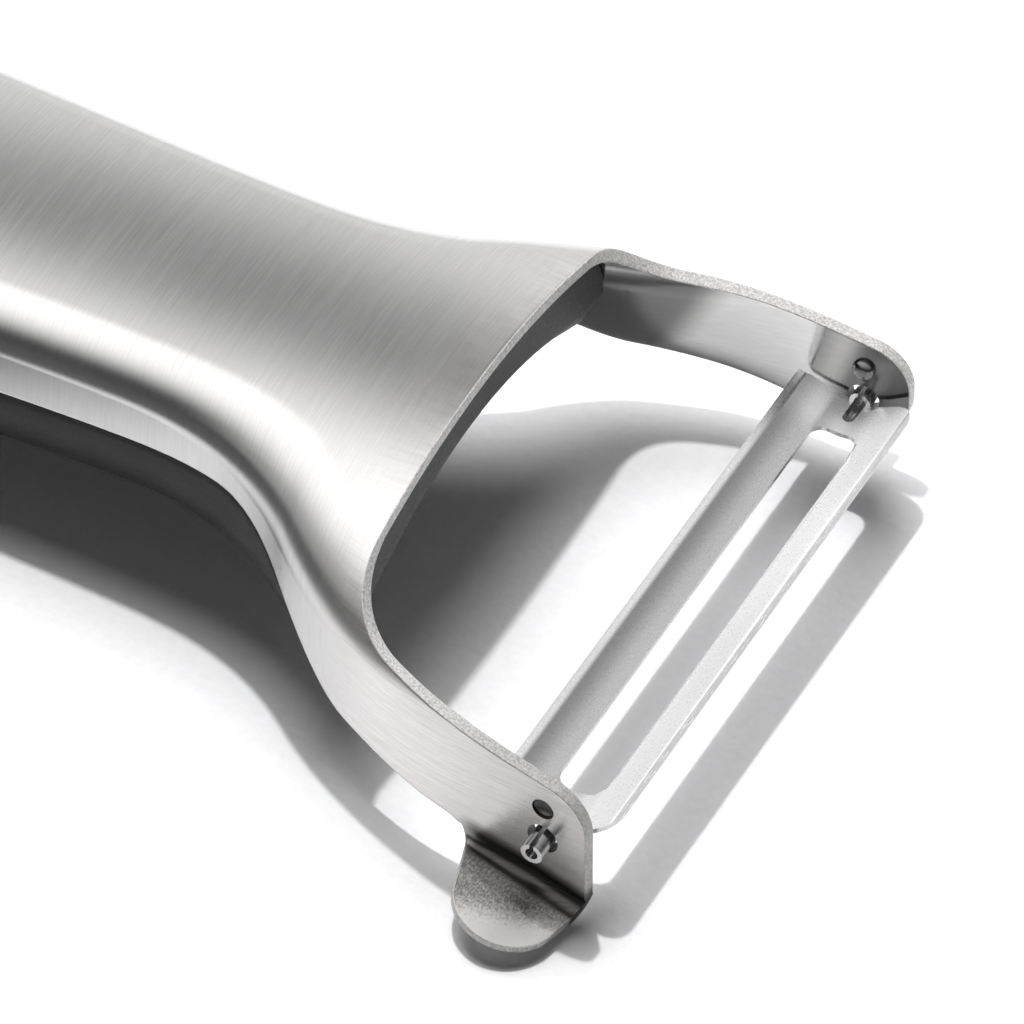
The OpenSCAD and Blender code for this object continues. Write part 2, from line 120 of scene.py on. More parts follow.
def crown_z(x, y):
    back = (front_x - x) / ((front_x - round_x) * 0.6)
    return (handle_h + crown_rise * ease(back)
            - crown_fall * np.maximum((round_x - x) / tail_l, 0) ** 2
            - mix(1, 0.5, ease((x - front_x) / opening_l)) * y**2 / (2 * crown_r))


def shoulder(x):
    return mix(shoulder_r, head_shoulder_r, ease((x - waist_x) / (front_x - waist_x)))


def splay(x, z):
    lean = math.tan(math.radians(side_lean)) * ease((pivot_x - x) / (opening_l * 0.7))
    return lean * (crown_z(x, half_w(x)) - shoulder(x) - z)


def arm_mid(x):
    return arm_z - slope_tan * (x - pivot_x)


def edge_z(x):
    return mix(arm_mid(x) - arm_h / 2, side_z, ease((front_x - x) / (waist_back * 0.64)))


def grip_edge(x):
    return mix(grip_r, grip_neck_r, ease((x - waist_x) / (neck_x - waist_x)))


def plan(x, a, inset):
    """Plan point of a station, moved inwards. Angle a goes round the tail."""
    round_tail = a > 0
    s, c = np.sin(a), np.cos(a)
    return (np.where(round_tail, round_x - (tail_l - inset) * s, x),
            np.where(round_tail, (tail_w / 2 - inset) * c, half_w(x) - inset / np.cos(turn(x))))


def shoulder_arc(x, a, inset, depth, n):
    """Points over the shoulder, from the crown down to the top of the wall."""
    x0 = plan(x, a, inset)[0]
    radius = shoulder(x0) - inset
    phi = np.radians(np.linspace(90, 0, n))[None, :]
    px, py = plan(x, a, inset + radius * (1 - np.cos(phi)))
    return px, py, crown_z(px, py) - depth - radius * (1 - np.sin(phi))


def wall_section(x, a):
    """Finely divided outer section of one side, from the crown's rim down past its edge."""
    x, a = np.asarray(x, float)[:, None], np.asarray(a, float)[:, None]
    px, py, pz = shoulder_arc(x, a, 0.0, 0.0, 160)
    t = np.linspace(0, 1, 240)[None, 1:]
    z = pz[:, -1:] + (wall_low - pz[:, -1:]) * t
    qx, qy = plan(x, a, -splay(plan(x, a, 0.0)[0], z))
    return np.stack([np.hstack([px, qx]), np.hstack([py, qy]), np.hstack([pz, z])], -1)


def rows_between(section, top, bottom, t):
    """Points at shares t of the way along each section, between two heights."""
    out = np.empty((len(section), len(t), 3))
    for i, p in enumerate(section):
        s = np.concatenate([[0], np.cumsum(np.linalg.norm(np.diff(p, axis=0), axis=1))])
        s0, s1 = (np.interp(-z, -p[:, 2], s) for z in (top[i], bottom[i]))
        for k in range(3):
            out[i, :, k] = np.interp(s0 + (s1 - s0) * t, s, p[:, k])
    return out


# Meshes. A face's material is one of these, in the order of the lists under Pieces
OUTER, EDGE, INNER, PIT = range(4)
BEVEL = 2


class Sheet:
    """Quads gathered from grids of points, merged where points coincide."""

    def __init__(self):
        self.points, self.thick, self.faces = [], [], []

    def add(self, grid, thick=steel_t, flip=False):
        """A grid of shape (rows, columns, 3); thick is one number or a grid of them."""
        n, m = grid.shape[:2]
        start = sum(len(p) for p in self.points)
        self.points.append(grid.reshape(-1, 3))
        self.thick.append(np.broadcast_to(thick, (n, m)).reshape(-1).astype(float))
        i = np.arange(n * m).reshape(n, m) + start
        q = np.stack([i[:-1, :-1], i[1:, :-1], i[1:, 1:], i[:-1, 1:]], -1).reshape(-1, 4)
        self.faces.append(q[:, ::-1] if flip else q)

    def merged(self):
        p, t, f = np.vstack(self.points), np.concatenate(self.thick), np.vstack(self.faces)
        _, first, where = np.unique(np.round(p, 3), axis=0, return_index=True, return_inverse=True)
        return p[first], t[first], where.reshape(-1)[f]

    def solid(self, name, round_r=0.0, reach=1.2):
        """Closed mesh: the sheet, its other face, and the rounded cut edge between them."""
        p, thick, quads = self.merged()
        normal = np.zeros_like(p)
        across = np.cross(p[quads[:, 2]] - p[quads[:, 0]], p[quads[:, 3]] - p[quads[:, 1]])
        for k in range(4):
            np.add.at(normal, quads[:, k], across)
        normal /= np.linalg.norm(normal, axis=1)[:, None]
        faces, edges = without_doubles(quads), set()
        for q in faces:
            edges.update(zip(q, q[1:] + q[:1]))
        rim = [(a, b) for a, b in sorted(edges) if (b, a) not in edges]
        out = np.zeros_like(p)
        for a, b in rim:
            step = p[b] - p[a]
            for v in (a, b):
                out[v] += np.cross(step, normal[v])
        border = sorted({v for e in rim for v in e})
        out[border] /= np.linalg.norm(out[border], axis=1)[:, None]

        # The points near the cut edge draw back, to make room for its rounding
        near = KDTree(len(border))
        for v in border:
            near.insert(p[v], v)
        near.balance()
        front, down = p.copy(), normal * thick[:, None]
        for v in range(len(p)):
            _, at, far = near.find(p[v])
            if far < reach:
                front[v] -= out[at] * round_r * (1 - far / reach)
        layers = [front, front - down]
        n, m = len(p), len(border)
        place = {v: k for k, v in enumerate(border)}
        o, d, t = out[border], normal[border], thick[border][:, None]
        bend = round_r * (1 - math.sqrt(0.5))
        q, hold = p[border], 1.6 * round_r
        layers += [q - o * bend - d * bend, q - d * round_r, q - d * hold,
                   q - d * (t - hold), q - d * (t - round_r), q - o * bend - d * (t - bend)]
        rows = [lambda v: v] + [lambda v, k=k: 2 * n + k * m + place[v] for k in range(6)]
        rows.append(lambda v: n + v)
        made = faces + [[v + n for v in reversed(f)] for f in faces]
        for a, b in rim:
            made += [[low(b), low(a), high(a), high(b)] for low, high in zip(rows, rows[1:])]
        ob = new_object(name, np.vstack(layers), made)
        for k, poly in enumerate(ob.data.polygons):
            poly.material_index = (OUTER, INNER, EDGE)[min(k // len(faces), 2)]
        return ob


def without_doubles(quads):
    """Faces without repeated corners; those with fewer than three corners go."""
    faces = [[v for k, v in enumerate(q) if v != q[k - 1]] for q in quads.tolist()]
    return [q for q in faces if len(q) > 2]


def new_object(name, points, faces):
    mesh = bpy.data.meshes.new(name)
    mesh.from_pydata([tuple(p) for p in points], [], faces)
    mesh.validate()
    ob = bpy.data.objects.new(name, mesh)
    bpy.context.scene.collection.objects.link(ob)
    return ob


def apply(ob):
    """Bakes the modifiers of an object into its mesh."""
    bpy.context.view_layer.update()
    baked = bpy.data.meshes.new_from_object(
        ob.evaluated_get(bpy.context.evaluated_depsgraph_get()))
    ob.modifiers.clear()
    ob.data = baked
    return ob


def drop(ob):
    bpy.data.objects.remove(ob)


def boolean(ob, cutter, operation):
    m = ob.modifiers.new("cut", "BOOLEAN")
    m.operation, m.object, m.solver = operation, cutter, "EXACT"
    apply(ob)
    drop(cutter)
    return ob


def bar(r, length, place, n=64):
    """Round bar along the matrix's Z axis, from its origin."""
    bm = bmesh.new()
    bmesh.ops.create_cone(bm, cap_ends=True, segments=n, radius1=r, radius2=r,
                          depth=length, matrix=place @ Matrix.Translation((0, 0, length / 2)))
    ob = new_object("cutter", [], [])
    bm.to_mesh(ob.data)
    bm.free()
    return ob


def lathe(profile, place, n):
    """Solid of revolution about the matrix's Z axis, from (radius, height) pairs."""
    rings = [(r, z) for r, z in profile if r > 0]
    turns = [2 * math.pi * k / n for k in range(n)]
    points = [(r * math.cos(t), r * math.sin(t), z) for r, z in rings for t in turns]
    points += [(0, 0, profile[0][1]), (0, 0, profile[-1][1])]
    low, high = len(points) - 2, len(points) - 1
    faces = [[i * n + k, i * n + (k + 1) % n, (i + 1) * n + (k + 1) % n, (i + 1) * n + k]
             for i in range(len(rings) - 1) for k in range(n)]
    last = (len(rings) - 1) * n
    faces += [[low, (k + 1) % n, k] for k in range(n)]
    faces += [[high, last + k, last + (k + 1) % n] for k in range(n)]
    return new_object("cutter", [place @ Vector(p) for p in points], faces)


def prism(outline, half):
    """Side-view outline of (x, z) points, carried across the part."""
    n = len(outline)
    points = [(x, -half, z) for x, z in outline] + [(x, half, z) for x, z in outline]
    faces = [list(range(n)), [n + k for k in reversed(range(n))]]
    faces += [[k, k + n, (k + 1) % n + n, (k + 1) % n] for k in range(n)]
    return outward(new_object("cutter", points, faces))


def outward(ob):
    """Merges stray points and turns all faces outwards."""
    bm = bmesh.new()
    bm.from_mesh(ob.data)
    bmesh.ops.remove_doubles(bm, verts=bm.verts, dist=1e-4)
    bmesh.ops.dissolve_degenerate(bm, dist=1e-5, edges=bm.edges)
    bmesh.ops.recalc_face_normals(bm, faces=bm.faces)
    bm.to_mesh(ob.data)
    bm.free()
    return ob


def use_materials(ob, materials, index=None):
    """Gives an object its materials, and all its faces one of them where index says so."""
    for m in materials:
        ob.data.materials.append(m)
    if index is not None:
        ob.data.polygons.foreach_set("material_index", [index] * len(ob.data.polygons))
    return ob


def finish_mesh(ob, angle):
    """Metres, and smooth shading up to an angle."""
    ob.data.validate()
    ob.data.transform(Matrix.Scale(MM, 4))
    ob.data.shade_smooth()
    ob.data.set_sharp_from_angle(angle=math.radians(angle))


# The steel
tip_mid_x = tip_x - tip_r
tip_top = arm_mid(tip_mid_x) + arm_h / 2 - tip_r / math.cos(math.radians(arm_slope))
tip_foot = arm_mid(tip_mid_x) - arm_h / 2 + tip_r / math.cos(math.radians(arm_slope))
fillet_x = front_x + opening_r
fillet_z = arm_mid(fillet_x) + arm_h / 2 + opening_r / math.cos(math.radians(arm_slope))
fold_x = tip_x - eyer_w / 2
fold_mid_z = arm_mid(fold_x) - eyer_drop
fold_slope = math.tan(math.radians(eyer_slope))
eyer_rear = tip_x - eyer_w
slope_sin = math.sin(math.radians(arm_slope))


def arm_top(x):
    """Upper line of an arm: the fillet, the straight, and the round of the tip."""
    return np.select(
        [x < fillet_x - opening_r * slope_sin, x > tip_mid_x + tip_r * slope_sin],
        [fillet_z - np.sqrt(np.maximum(opening_r**2 - (fillet_x - x) ** 2, 0)),
         tip_top + np.sqrt(np.maximum(tip_r**2 - (x - tip_mid_x) ** 2, 0))],
        arm_mid(x) + arm_h / 2)


def far_foot(x):
    return np.where(x > tip_mid_x - tip_r * slope_sin,
                    tip_foot - np.sqrt(np.maximum(tip_r**2 - (x - tip_mid_x) ** 2, 0)),
                    edge_z(x))


def fold_z(x):
    return fold_mid_z - fold_slope * (x - fold_x)


def flare(w):
    """How far the scoop's rear edge is widened, at a distance w below its fold."""
    return flare_out * np.maximum(1 - w / flare_run, 0) ** 2


def near_foot(x):
    rear = eyer_rear - flare(0)
    return mix(edge_z(x), fold_z(x), ease((x - (rear - notch)) / notch))


def stop_forms(sign):
    """The pit that the press leaves outside an arm, and the stop that it raises inside."""
    base = float(half_w(pivot_x))
    at = (Matrix.Translation((pivot_x, sign * base, pivot_z + stop_rise))
          @ Matrix.Rotation(sign * math.pi / 2, 4, "X"))
    pit = [(stop_r, -1.0), (stop_r, 0.45), (stop_r - 0.2, 0.7), (stop_r - 0.55, 0.85), (0, 0.9)]
    dome = [(stop_r, steel_t - 0.3), (stop_r, steel_t + 0.25), (stop_r - 0.15, steel_t + 0.55),
            (stop_r - 0.5, steel_t + 0.82), (0.3, steel_t + stop_h), (0, steel_t + stop_h)]
    return outward(lathe(dome, at, 64)), outward(lathe(pit, at, 64))


def steel_sheet():
    sheet = Sheet()
    side = front_x - (front_x - round_x) * np.linspace(0, 1, 150) ** 1.12
    tail = np.radians(np.linspace(0, 90, 72)[1:])
    x = np.concatenate([side, np.full(len(tail), round_x)])
    a = np.concatenate([np.zeros(len(side)), tail])
    section = wall_section(x, a)
    px = section[:, 0, 0]
    split = np.full(len(x), fillet_z)
    upper = rows_between(section, section[:, 0, 2], split, np.linspace(0, 1, 12))
    arm_n = 46
    lower = rows_between(section, split, edge_z(section[:, -1, 0]), np.linspace(0, 1, arm_n))

    curve = np.radians(np.linspace(0, 90 - arm_slope, 24))
    psi = np.radians(np.linspace(-arm_slope, 90, 66))
    arc_x = front_x + opening_r * (1 - np.cos(curve))
    tip_arc = tip_mid_x + tip_r * np.sin(psi)
    straight = np.linspace(arc_x[-1], tip_arc[0], 44)
    ax = np.concatenate([arc_x, straight[1:-1], tip_arc])
    arm = wall_section(ax, np.zeros(len(ax)))
    for sign, foot in ((1, far_foot), (-1, near_foot)):
        m = np.array([1, sign, 1])
        rows = rows_between(arm, arm_top(ax), foot(ax), np.linspace(0, 1, arm_n))
        for grid in (upper, lower):
            sheet.add(grid * m, flip=sign > 0)
        sheet.add(rows[::-1] * m, flip=sign > 0)
        if sign < 0:
            near_edge = rows[:, -1] * m

    across = np.linspace(-1, 1, 57)[None, :]
    rim_y = section[:, 0, 1][:, None] * across
    cx = np.repeat(px[:, None], across.shape[1], 1)
    sheet.add(np.stack([cx, rim_y, crown_z(cx, rim_y)], -1), flip=True)
    add_scoop(sheet, ax, near_edge)
    return sheet


def add_scoop(sheet, ax, near_edge):
    """The eye remover: the bend at the foot of the near arm, and the dished tongue."""
    tilt = (turn(tip_x) + turn(eyer_rear)) / 2
    place = (Matrix.Translation((fold_x, -float(half_w(fold_x)), fold_mid_z))
             @ Matrix.Rotation(-tilt, 4, "Z")
             @ Matrix.Rotation(math.radians(eyer_slope), 4, "Y"))
    use = ax >= eyer_rear - flare(0)
    fold_line = near_edge[use]
    xs = ax[use]
    local = np.array([(place.inverted() @ Vector(p))[:] for p in fold_line])
    f = (xs - xs[0]) / (xs[-1] - xs[0])
    half = eyer_w / 2
    base_x = -half + eyer_w * f
    mid_out = scoop_l - eyer_end_r

    def touch(corner_x, sign):
        dx, dy = corner_x - eyer_skew, -mid_out
        return (math.atan2(dy, dx) + sign * math.acos(eyer_end_r / math.hypot(dx, dy)))

    left, right = touch(-half, -1) % (2 * math.pi), touch(half, 1)
    angle = left + (right - left) * f
    end_x = eyer_skew + eyer_end_r * np.cos(angle)
    end_out = mid_out + eyer_end_r * np.sin(angle)
    bend_n, dish_n, hold = 10, 30, 3.0
    bend = eyer_bend_r * (1 - np.cos(np.radians(np.linspace(0, 90, bend_n))))
    rows, thick = [], []
    for k in range(bend_n + dish_n):
        if k < bend_n:
            out = np.full(len(f), bend[k])
            z = -np.sqrt(np.maximum(eyer_bend_r**2 - (eyer_bend_r - out) ** 2, 0))
            w = eyer_bend_r * math.radians(90 * k / (bend_n - 1))
            share = 0.0
        else:
            share = (k - bend_n + 1) / dish_n
            out = eyer_bend_r + (end_out - eyer_bend_r) * share
            u = out - eyer_bend_r
            z = -eyer_bend_r + dish_share * (eyer_dish_r - np.sqrt(eyer_dish_r**2 - u**2))
            w = eyer_bend_r * math.pi / 2 + (end_out - eyer_bend_r) * share
        xx = base_x + (end_x - base_x) * out / end_out - (1 - f) ** 6 * flare(w)
        fade = 1 - ease(np.asarray(w) / hold)
        miss = local - np.stack([base_x - (1 - f) ** 6 * flare(0), 0 * f, 0 * f], -1)
        p = np.stack([xx, -out, z + 0 * f], -1) + miss * np.reshape(fade, (-1, 1))
        rows.append([(place @ Vector(q))[:] for q in p])
        thick.append(np.full(len(f), mix(steel_t, eyer_rim_t, share)))
    sheet.add(np.array(rows), np.array(thick))


def steel_body(materials):
    ob = use_materials(steel_sheet().solid("steel_shell", 0.13), materials)
    holes = []
    for sign in (-1, 1):
        dome, pit = stop_forms(sign)
        boolean(ob, use_materials(dome, materials, INNER), "UNION")
        holes.append(pit)
        at = Matrix.Translation((pivot_x, sign * (head_w / 2 - 5), pivot_z))
        holes.append(bar(pivot_hole_r, 10, at @ Matrix.Rotation(-sign * math.pi / 2, 4, "X")))
    holes.append(bar(hang_r + collar_t + grip_gap, 40, Matrix.Translation((0, 0, 5)), 96))
    for hole in holes:
        boolean(ob, use_materials(hole, materials, PIT), "DIFFERENCE")
    return ob


# The grip
rise_x = grip_front_x - rise_l
side_share, climb_power, past_front = 0.9, 1.7, 6.0
ample, below = 60.0, -9.0


def tub(inset, depth, level, name):
    """The filling of the shell: a closed form that keeps a distance from its outer face."""
    front = front_x + past_front
    side = front - (front - round_x) * np.linspace(0, 1, 130) ** 1.1
    tail = np.radians(np.linspace(0, 90, 50)[1:])
    x = np.concatenate([side, np.full(len(tail), round_x)])[:, None]
    a = np.concatenate([np.zeros(len(side)), tail])[:, None]
    px, py, pz = shoulder_arc(x, a, inset, depth, 14)
    base_x = plan(x, a, inset)[0]
    edge_r = grip_edge(base_x)
    radius = edge_r - level
    z = mix(pz[:, -1:], edge_r, np.linspace(0, 1, 14)[None, 1:])
    wx, wy = plan(x, a, inset - splay(base_x, z))
    phi = np.radians(np.linspace(0, 90, 18))[None, 1:]
    low_in = inset - splay(base_x, edge_r) + radius * (1 - np.cos(phi))
    lx, ly = plan(x, a, low_in)
    lz = level + radius * (1 - np.sin(phi))
    hx, hy, hz = np.hstack([px, wx, lx]), np.hstack([py, wy, ly]), np.hstack([pz, z, lz])
    hy[-1] = 0
    top = np.linspace(0, 1, 9)[None, :-1]
    tx, ty = np.repeat(hx[:, :1], 8, 1), hy[:, :1] * top
    tz = crown_z(tx, ty) - depth
    bx, by = np.repeat(hx[:, -1:], 4, 1), hy[:, -1:] * np.linspace(1, 0, 5)[None, 1:]
    bz = np.full_like(bx, level)
    half = np.stack([np.hstack(k) for k in ([tx, hx, bx], [ty, hy, by], [tz, hz, bz])], -1)
    sheet = Sheet()
    sheet.add(half, flip=True)
    sheet.add(half * np.array([1, -1, 1]))
    p, _, quads = sheet.merged()
    ob = new_object(name, p, without_doubles(quads))
    bm = bmesh.new()
    bm.from_mesh(ob.data)
    bmesh.ops.holes_fill(bm, edges=[e for e in bm.edges if e.is_boundary], sides=0)
    bm.to_mesh(ob.data)
    bm.free()
    return outward(ob)


def climb(x):
    return side_z * side_share * np.clip((x - rise_x) / rise_l, 0, 1) ** climb_power


def grip_outline(dx=0.0, dz=0.0, back=-30.0):
    xs = np.linspace(rise_x, grip_front_x, 24)
    low = [(float(x) + dx, float(climb(x)) + dz) for x in xs]
    return ([(back, -5.0), (rise_x + dx - 0.01, -5.0)] + low
            + [(grip_front_x + dx, 2 * handle_h), (back, 2 * handle_h)])


def lip_hollow(dx=0.0, dz=0.0):
    at = (Matrix.Translation((grip_front_x + dx, 0, handle_h - steel_t - lip_h + dz))
          @ Matrix.Rotation(math.radians(90 - lip_slope), 4, "Y")
          @ Matrix.Translation((lip_arch_r, 0, -2 * handle_h)))
    return bar(lip_arch_r, 4 * handle_h, at, 240)


def grip_skin():
    gap_h, gap_l = 0.75, 1.1
    form = tub(steel_fit, steel_fit, 0.0, "grip_skin")
    boolean(form, prism(grip_outline(), ample), "INTERSECT")
    boolean(form, prism([(grip_front_x - gap_l, below), (200, below), (200, ample),
                         (grip_front_x - gap_l, ample)], ample), "DIFFERENCE")
    nose = tub(steel_fit + 0.1, steel_fit + gap_h, 0.0, "nose")
    boolean(nose, prism(grip_outline(back=grip_front_x - 2 * gap_l), ample), "INTERSECT")
    boolean(form, nose, "UNION")
    cheek = tub(grip_inset, steel_fit, 0.0, "cheek")
    xs = np.linspace(-20, front_x + 2, 90)
    cover = [(float(x), float(edge_z(x)) - groove) for x in xs[::-1]]
    boolean(cheek, prism([(-20.0, below), (front_x + 2, below)] + cover, ample), "INTERSECT")
    boolean(cheek, prism(grip_outline(dz=groove / 4), ample), "INTERSECT")
    boolean(form, cheek, "UNION")
    boolean(form, lip_hollow(), "DIFFERENCE")
    inner = tub(steel_fit + skin_t, -steel_t, skin_t, "inner")
    boolean(inner, prism(grip_outline(-skin_t, skin_t), ample), "INTERSECT")
    boolean(inner, lip_hollow(-skin_t, skin_t), "DIFFERENCE")
    boolean(form, inner, "DIFFERENCE")
    ring_top = float(crown_z(0.0, hang_r + collar_t))
    boolean(form, bar(hang_r + collar_t, ring_top - 1.0, Matrix.Translation((0, 0, 1.0)), 72),
            "UNION")
    boolean(form, bar(hang_r, ample, Matrix.Translation((0, 0, below)), 72), "DIFFERENCE")
    m = form.modifiers.new("remesh", "REMESH")
    m.mode, m.voxel_size, m.adaptivity = "VOXEL", 0.42, 0.0
    m = form.modifiers.new("smooth", "CORRECTIVE_SMOOTH")
    m.iterations, m.factor, m.smooth_type, m.use_only_smooth = 3, 0.5, "LENGTH_WEIGHTED", True
    m = form.modifiers.new("fewer", "DECIMATE")
    m.ratio = 0.35
    return apply(form)


# The blade
def plate(outline, low, high):
    """Plan outline of (x, y) points, carried upwards."""
    n = len(outline)
    points = [(x, y, z) for z in (low, high) for x, y in outline]
    faces = [list(reversed(range(n))), [n + k for k in range(n)]]
    faces += [[k, (k + 1) % n, (k + 1) % n + n, k + n] for k in range(n)]
    return outward(new_object("cutter", points, faces))


def rounded(w, l, front_r, back_r):
    """Rounded oblong, its front to +X, with its own radius at the back corners."""
    points, n = [], 12
    for sx, sy, start in ((1, 1, 0), (-1, 1, 90), (-1, -1, 180), (1, -1, 270)):
        r = front_r if sx > 0 else back_r
        for k in range(n + 1):
            t = math.radians(start + 90 * k / n)
            points.append((sx * (w / 2 - r) + r * math.cos(t),
                           sy * (l / 2 - r) + r * math.sin(t)))
    return points


def blade_upper():
    """Upper line of the blade's section: flange, fold, trough, and the front bar."""
    half = blade_w / 2
    fold = Vector((-half + flange_w, blade_edge_z - flange_h))
    top = Vector((-half, blade_edge_z))
    toe = Vector((-slot_w / 2, trough_rise))
    reach, bow = 0.28, 0.09
    a, b = fold + (top - fold).normalized() * reach, fold + (toe - fold).normalized() * reach
    points = [top, top.lerp(a, 0.5)]
    points += [a * (1 - t) ** 2 + fold * 2 * t * (1 - t) + b * t**2
               for t in [k / 6 for k in range(7)]]
    points += [b.lerp(toe, t) - Vector((0, bow * 4 * t * (1 - t)))
               for t in [k / 8 for k in range(1, 8)]]
    points += [Vector((slot_w / 2 * t, trough_rise * t * t))
               for t in [k / 12 for k in range(-12, 13)]]
    last = Vector((half, blade_edge_z))
    toe = Vector((slot_w / 2, trough_rise))
    points += [toe.lerp(last, k / 8) for k in range(1, 9)]
    return [(p.x, p.y) for p in points]


def grind(corner, direction, back):
    """Wedge that a ground bevel takes off the sheet: section points for a prism."""
    d = Vector(direction).normalized()
    up = Vector((-d.y, d.x))
    over = 1.2
    c = Vector(corner)
    sx = -1 if back else 1
    local = [(bevel_w, 0), (0, -bevel_share * blade_t), (-over, -bevel_share * blade_t),
             (-over, over), (bevel_w, over)]
    return [tuple(c + d * (sx * u) + up * v) for u, v in local]


def fading(outline, half, run, lift):
    """Prism whose ends rise out of the sheet over a run, so that its cut fades."""
    n = len(outline)
    ends = [(-half, lift), (run - half, 0), (half - run, 0), (half, lift)]
    points = [(x, y, z + up) for y, up in ends for x, z in outline]
    faces = [list(range(n)), [3 * n + k for k in reversed(range(n))]]
    faces += [[i * n + k, (i + 1) * n + k, (i + 1) * n + (k + 1) % n, i * n + (k + 1) % n]
              for i in range(3) for k in range(n)]
    return outward(new_object("cutter", points, faces))


def tang(sign, radius, end_y):
    root = (slot_l + blade_l) / 4
    dome = [(radius * math.sin(t), radius * (1 - math.cos(t)) - radius)
            for t in [math.pi / 2 * k / 10 for k in range(11)]]
    at = (Matrix.Translation((0, sign * root, 0))
          @ Matrix.Rotation(-sign * math.pi / 2, 4, "X"))
    return lathe(dome + [(radius, end_y - root)], at, tang_n)


def blade_piece(materials):
    upper = blade_upper()
    ys = np.linspace(-blade_l / 2 - 1, blade_l / 2 + 1, 70)
    grid = np.array([[(x, y, z) for x, z in upper] for y in ys])
    sheet = Sheet()
    sheet.add(grid, blade_t, flip=True)
    ob = use_materials(sheet.solid("peeling_blade", 0.02, 0.1), materials, OUTER)

    def cut(cutter, operation, index=EDGE):
        boolean(ob, use_materials(cutter, materials, index), operation)

    high = 2 * blade_w
    toe, edge = (slot_w / 2, trough_rise), (blade_w / 2, blade_edge_z)
    bar_dir = (edge[0] - toe[0], edge[1] - toe[1])
    cut(prism(grind(edge, bar_dir, True), blade_l), "DIFFERENCE", BEVEL)
    toe_half, toe_run = slot_l / 2 - 0.5 * slot_r, 3.0
    cut(fading(grind(toe, bar_dir, False), toe_half, toe_run, blade_t), "DIFFERENCE", BEVEL)
    cut(plate(rounded(blade_w, blade_l, blade_corner_r, blade_back_r), -high, high), "INTERSECT")
    cut(plate(rounded(slot_w, slot_l, slot_r, slot_r), -high, high), "DIFFERENCE")
    tang_end = head_w / 2 + tang_out
    for sign in (-1, 1):
        rod = tang(sign, tang_r, tang_end)
        keep = prism([(-blade_w, -blade_w), (blade_w, -blade_w), (blade_w, 0), (-blade_w, 0)],
                     blade_l)
        boolean(rod, keep, "INTERSECT")
        cut(rod, "UNION")
        out = Matrix.Translation((0, sign * (blade_l / 2 - 0.05), 0))
        roll = bar(tang_r, tang_end - blade_l / 2 + 0.05,
                   out @ Matrix.Rotation(-sign * math.pi / 2, 4, "X"), tang_n)
        boolean(roll, prism([(-slit, 0), (slit, 0), (slit, 3), (-slit, 3)], blade_l), "DIFFERENCE")
        cut(roll, "UNION")
        cut(tang(sign, tang_r - blade_t, tang_end + 3), "DIFFERENCE")
    ob.data.transform(Matrix.Translation((pivot_x, 0, pivot_z)))
    return ob


